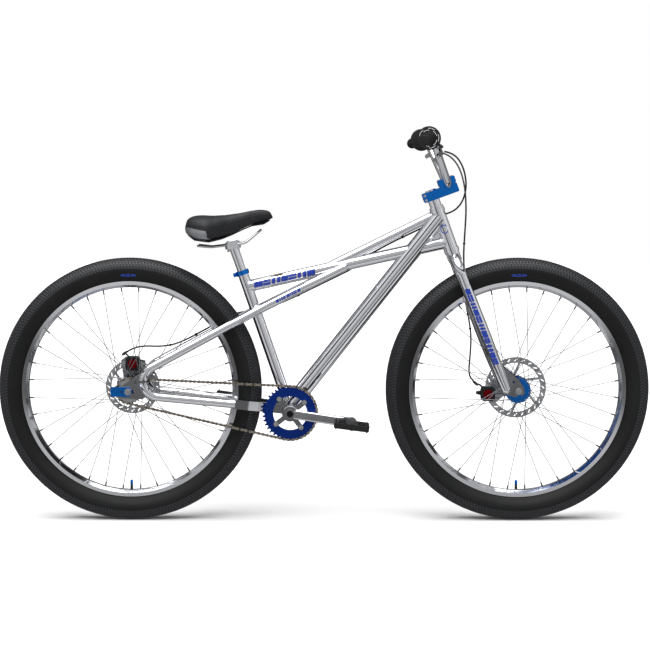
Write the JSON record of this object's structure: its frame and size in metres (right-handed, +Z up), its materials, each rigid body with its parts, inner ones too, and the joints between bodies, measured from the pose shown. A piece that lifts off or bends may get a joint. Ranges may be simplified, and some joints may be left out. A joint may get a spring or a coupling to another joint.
{
  "type": "bmx bike",
  "caption": "Cruiser BMX bike with a looped rear triangle, riser bars, disc brakes, a single-speed chain drive and wide tyres.",
  "frame": {"origin": "on the ground, halfway between the two axles, in the middle plane", "axes": "+X to the front, +Y to the rider's left, +Z up"},
  "size_m": [1.9082, 0.7362, 1.1512],
  "materials": {
    "polished_aluminium": "polished",
    "blue_anodised": "bright anodised",
    "blue_ring": "satin anodised",
    "black_metal": "satin black",
    "steel": "bright",
    "chain_steel": "oiled",
    "black_plastic": "matte",
    "black_rubber": "matte",
    "tire_rubber": "matte",
    "saddle_cover": "matte synthetic leather",
    "saddle_trim": "silver"
  },
  "bodies": {
    "frame": {"head_tube": "polished_aluminium", "down_tube": "polished_aluminium", "top_tube": "polished_aluminium", "upper_tube": "polished_aluminium", "seat_tube": "polished_aluminium", "stay_right": "polished_aluminium", "stay_left": "polished_aluminium", "chainstay_yokes": "polished_aluminium", "bottom_bracket_shell": "polished_aluminium", "dropouts": "polished_aluminium", "headset_cups": "polished_aluminium", "bottom_bracket_bearings": "black_metal", "seat_clamp": "blue_anodised", "chain_tensioners": "blue_anodised", "rear_axle": "steel", "rear_caliper": "black_metal", "rear_brake_cable": "black_plastic", "cable_clips": "black_plastic", "chain": "chain_steel"},
    "steering": {"fork_steerer": "polished_aluminium", "fork_leg_right": "polished_aluminium", "fork_leg_left": "polished_aluminium", "stem": "blue_anodised", "stem_cap": "blue_anodised", "stem_bolts": "steel", "handlebar": "polished_aluminium", "grips": "black_rubber", "lever_mounts": "black_metal", "rear_cable_loop": "black_plastic", "front_brake_cable": "black_plastic", "front_caliper": "black_metal", "front_axle": "steel"},
    "front_wheel": {"front_tire": "tire_rubber", "front_inner_tube": "black_rubber", "front_rim": "polished_aluminium", "front_spokes": "steel", "front_hub": "blue_anodised", "front_rotor": "steel"},
    "rear_wheel": {"rear_tire": "tire_rubber", "rear_inner_tube": "black_rubber", "rear_rim": "polished_aluminium", "rear_spokes": "steel", "rear_hub": "black_metal", "rear_rotor": "steel"},
    "sprocket": {"sprocket": "steel"},
    "crank": {"crank_arms": "polished_aluminium", "crank_spindle": "black_metal", "chainring": "blue_ring", "chainring_bolts": "steel", "pedal_axles": "steel"},
    "pedal_right": {"pedal_right": "black_plastic"},
    "pedal_left": {"pedal_left": "black_plastic"},
    "seat": {"saddle": "saddle_cover", "saddle_base": "saddle_trim", "saddle_rails": "steel", "seatpost": "polished_aluminium"},
    "lever_right": {"brake_lever_right": "polished_aluminium"},
    "lever_left": {"brake_lever_left": "polished_aluminium"},
    "front_arm": {"front_caliper_arm": "black_metal"},
    "rear_arm": {"rear_caliper_arm": "black_metal"}
  },
  "joints": [
    {"name": "steering_turn", "type": "hinge", "parent": "frame", "child": "steering", "pos_m": [0.35658, 0, 0.84114], "axis": [-0.342, 0, 0.9397], "range_deg": [-75, 75], "deforming": ["rear_cable_loop"]},
    {"name": "front_wheel_spin", "type": "hinge", "parent": "steering", "child": "front_wheel", "pos_m": [0.568, 0, 0.386], "axis": [0, 1, 0], "continuous": true},
    {"name": "rear_wheel_spin", "type": "hinge", "parent": "frame", "child": "rear_wheel", "pos_m": [-0.568, 0, 0.386], "axis": [0, 1, 0], "continuous": true},
    {"name": "crank_spin", "type": "hinge", "parent": "frame", "child": "crank", "pos_m": [-0.09747, 0, 0.321], "axis": [0, 1, 0], "continuous": true, "deforming": ["chain"]},
    {"name": "freewheel_spin", "type": "hinge", "parent": "frame", "child": "sprocket", "pos_m": [-0.568, 0, 0.386], "axis": [0, 1, 0], "continuous": true},
    {"name": "pedal_right_spin", "type": "hinge", "parent": "crank", "child": "pedal_right", "pos_m": [0.08099, -0.09, 0.29751], "axis": [0, 1, 0], "continuous": true},
    {"name": "pedal_left_spin", "type": "hinge", "parent": "crank", "child": "pedal_left", "pos_m": [-0.27593, 0.09, 0.34449], "axis": [0, 1, 0], "continuous": true},
    {"name": "seatpost_slide", "type": "slide", "parent": "frame", "child": "seat", "axis": [-0.3256, 0, 0.9455], "range_m": [-0.04, 0.07]},
    {"name": "lever_right_pull", "type": "hinge", "parent": "steering", "child": "lever_right", "pos_m": [0.31969, -0.20917, 1.09707], "axis": [-0.7307, 0.1823, -0.6579], "range_deg": [0, 12], "stiffness_Nm_per_rad": 1.2},
    {"name": "lever_left_pull", "type": "hinge", "parent": "steering", "child": "lever_left", "pos_m": [0.31969, 0.20917, 1.09707], "axis": [0.7307, 0.1823, 0.6579], "range_deg": [0, 12], "stiffness_Nm_per_rad": 1.2},
    {"name": "front_brake_arm", "type": "hinge", "parent": "steering", "child": "front_arm", "pos_m": [0.486, 0.05, 0.367], "axis": [0, 1, 0], "range_deg": [0, 15]},
    {"name": "rear_brake_arm", "type": "hinge", "parent": "frame", "child": "rear_arm", "pos_m": [-0.567, 0.07, 0.455], "axis": [0, 1, 0], "range_deg": [0, 15]}
  ],
  "couplings": [
    {"joint": "freewheel_spin", "follows": "crank_spin", "ratio": 2.1667},
    {"joint": "front_brake_arm", "follows": "lever_left_pull", "ratio": 1.25},
    {"joint": "rear_brake_arm", "follows": "lever_right_pull", "ratio": 1.25}
  ]
}
